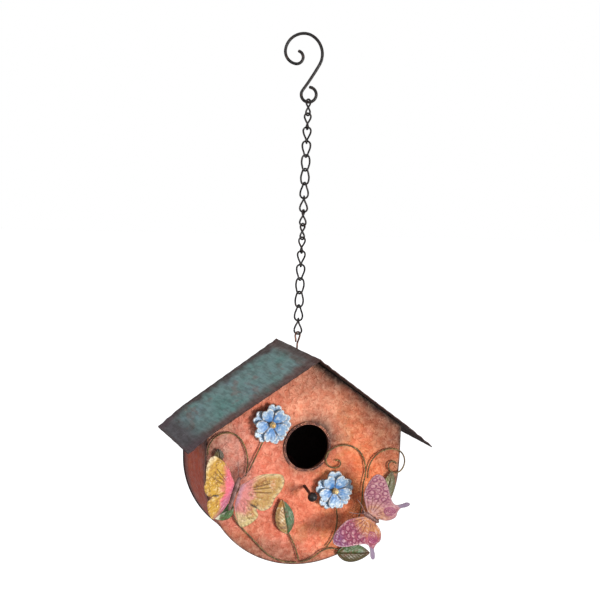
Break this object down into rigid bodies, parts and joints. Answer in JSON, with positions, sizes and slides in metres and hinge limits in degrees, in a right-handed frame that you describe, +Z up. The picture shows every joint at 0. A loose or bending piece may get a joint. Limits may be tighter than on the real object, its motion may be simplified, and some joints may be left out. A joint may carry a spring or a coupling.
{
  "type": "birdhouse",
  "caption": "Hanging sheet-metal birdhouse: scroll hook, wire chain, corrugated gable roof, round-bottomed body, round entrance, perch, painted flowers and butterflies.",
  "frame": {"origin": "inside of the crown of the hook, where the birdhouse hangs", "axes": "+Z up along the chain, the front and the entrance hole face -Y, +X to the right of someone facing the front"},
  "size_m": [0.2168, 0.1258, 0.4485],
  "materials": {
    "wire": "dark brown-black wire, satin, worn to brown",
    "eye_wire": "rust-brown wire, satin",
    "roof_sheet": "verdigris over red-brown, brushed along the ridge, satin",
    "front_sheet": "coral and gold over hammered sheet, smudged grey-brown at the edges, satin",
    "copper_sheet": "copper red with purple-brown edges, satin",
    "rim": "dark copper, worn bright on the crest",
    "vine_wire": "olive-brown wire, satin",
    "petal": "blue with white edges and brown centre lines, satin",
    "bead": "gold bead, polished",
    "leaf": "green and cream, brown at the tip, satin",
    "yellow_wing": "golden yellow, pink by the body, cream edge, brown veins",
    "pink_wing": "pink and violet with embossed rings, orange by the body",
    "insect": "grey-brown, satin"
  },
  "bodies": {
    "hook": {"hook": "wire"},
    "link_01": {"link_01": "wire"},
    "link_02": {"link_02": "wire"},
    "link_03": {"link_03": "wire"},
    "link_04": {"link_04": "wire"},
    "link_05": {"link_05": "wire"},
    "link_06": {"link_06": "wire"},
    "link_07": {"link_07": "wire"},
    "link_08": {"link_08": "wire"},
    "link_09": {"link_09": "wire"},
    "link_10": {"link_10": "wire"},
    "link_11": {"link_11": "wire"},
    "link_12": {"link_12": "wire"},
    "link_13": {"link_13": "wire"},
    "link_14": {"link_14": "wire"},
    "link_15": {"link_15": "wire"},
    "link_16": {"link_16": "wire"},
    "link_17": {"link_17": "wire"},
    "door": {"cleanout_door": "copper_sheet", "door_knob": "rim"},
    "house": {"back_panel": "copper_sheet", "butterfly_1_antennae": "insect", "butterfly_1_body": "insect", "butterfly_1_left_wing": "yellow_wing", "butterfly_1_post": "vine_wire", "butterfly_1_right_wing": "yellow_wing", "butterfly_2_antennae": "insect", "butterfly_2_body": "insect", "butterfly_2_left_wing": "pink_wing", "butterfly_2_post": "vine_wire", "butterfly_2_right_wing": "pink_wing", "door_rivet": "rim", "entrance_rim": "rim", "eye_nut": "eye_wire", "flower_1_back_petals": "petal", "flower_1_bead": "bead", "flower_1_front_petals": "petal", "flower_1_stem": "vine_wire", "flower_2_back_petals": "petal", "flower_2_bead": "bead", "flower_2_front_petals": "petal", "flower_2_stem": "vine_wire", "front_panel": "front_sheet", "leaf_centre": "leaf", "leaf_left": "leaf", "leaf_lower_left": "leaf", "leaf_lower_right": "leaf", "leaf_right": "leaf", "perch": "wire", "roof": "roof_sheet", "roof_eye": "eye_wire", "side_band": "copper_sheet", "vine_arch": "vine_wire", "vine_centre_stem": "vine_wire", "vine_inner_scroll": "vine_wire", "vine_left_trunk": "vine_wire", "vine_outer_scroll": "vine_wire", "vine_right_stem": "vine_wire", "vine_right_trunk": "vine_wire"}
  },
  "joints": [
    {"name": "link_01_sway", "type": "hinge", "parent": "hook", "child": "link_01", "pos_m": [0, 0, -0.0545], "axis": [0.9367, -0.3502, 0], "range_deg": [-12, 12]},
    {"name": "link_02_sway", "type": "hinge", "parent": "link_01", "child": "link_02", "pos_m": [0, 0, -0.06563], "axis": [-0.2504, 0.9681, 0], "range_deg": [-12, 12]},
    {"name": "link_03_sway", "type": "hinge", "parent": "link_02", "child": "link_03", "pos_m": [0, 0, -0.07726], "axis": [-0.0958, -0.9954, 0], "range_deg": [-12, 12]},
    {"name": "link_04_sway", "type": "hinge", "parent": "link_03", "child": "link_04", "pos_m": [0, 0, -0.08889], "axis": [0.4305, 0.9026, 0], "range_deg": [-12, 12]},
    {"name": "link_05_sway", "type": "hinge", "parent": "link_04", "child": "link_05", "pos_m": [0, 0, -0.10052], "axis": [-0.7133, -0.7009, 0], "range_deg": [-12, 12]},
    {"name": "link_06_sway", "type": "hinge", "parent": "link_05", "child": "link_06", "pos_m": [0, 0, -0.11216], "axis": [0.91, 0.4147, 0], "range_deg": [-12, 12]},
    {"name": "link_07_sway", "type": "hinge", "parent": "link_06", "child": "link_07", "pos_m": [0, 0, -0.12379], "axis": [-0.9969, -0.0785, 0], "range_deg": [-12, 12]},
    {"name": "link_08_sway", "type": "hinge", "parent": "link_07", "child": "link_08", "pos_m": [0, 0, -0.13542], "axis": [0.9636, -0.2672, 0], "range_deg": [-12, 12]},
    {"name": "link_09_sway", "type": "hinge", "parent": "link_08", "child": "link_09", "pos_m": [0, 0, -0.14705], "axis": [-0.8141, 0.5807, 0], "range_deg": [-12, 12]},
    {"name": "link_10_sway", "type": "hinge", "parent": "link_09", "child": "link_10", "pos_m": [0, 0, -0.15868], "axis": [0.5664, -0.8241, 0], "range_deg": [-12, 12]},
    {"name": "link_11_sway", "type": "hinge", "parent": "link_10", "child": "link_11", "pos_m": [0, 0, -0.17031], "axis": [-0.2504, 0.9681, 0], "range_deg": [-12, 12]},
    {"name": "link_12_sway", "type": "hinge", "parent": "link_11", "child": "link_12", "pos_m": [0, 0, -0.18194], "axis": [-0.0958, -0.9954, 0], "range_deg": [-12, 12]},
    {"name": "link_13_sway", "type": "hinge", "parent": "link_12", "child": "link_13", "pos_m": [0, 0, -0.19357], "axis": [0.4305, 0.9026, 0], "range_deg": [-12, 12]},
    {"name": "link_14_sway", "type": "hinge", "parent": "link_13", "child": "link_14", "pos_m": [0, 0, -0.2052], "axis": [-0.7133, -0.7009, 0], "range_deg": [-12, 12]},
    {"name": "link_15_sway", "type": "hinge", "parent": "link_14", "child": "link_15", "pos_m": [0, 0, -0.21683], "axis": [0.91, 0.4147, 0], "range_deg": [-12, 12]},
    {"name": "link_16_sway", "type": "hinge", "parent": "link_15", "child": "link_16", "pos_m": [0, 0, -0.22847], "axis": [-0.9969, -0.0785, 0], "range_deg": [-12, 12]},
    {"name": "link_17_sway", "type": "hinge", "parent": "link_16", "child": "link_17", "pos_m": [0, 0, -0.2401], "axis": [0.9636, -0.2672, 0], "range_deg": [-12, 12]},
    {"name": "house_sway", "type": "hinge", "parent": "link_17", "child": "house", "pos_m": [0, 0, -0.25173], "axis": [-0.8141, 0.5807, 0], "range_deg": [-12, 12]},
    {"name": "door_swing", "type": "hinge", "parent": "house", "child": "door", "pos_m": [0, 0.041, -0.355], "axis": [0, 1, 0], "range_deg": [-110, 110]}
  ]
}
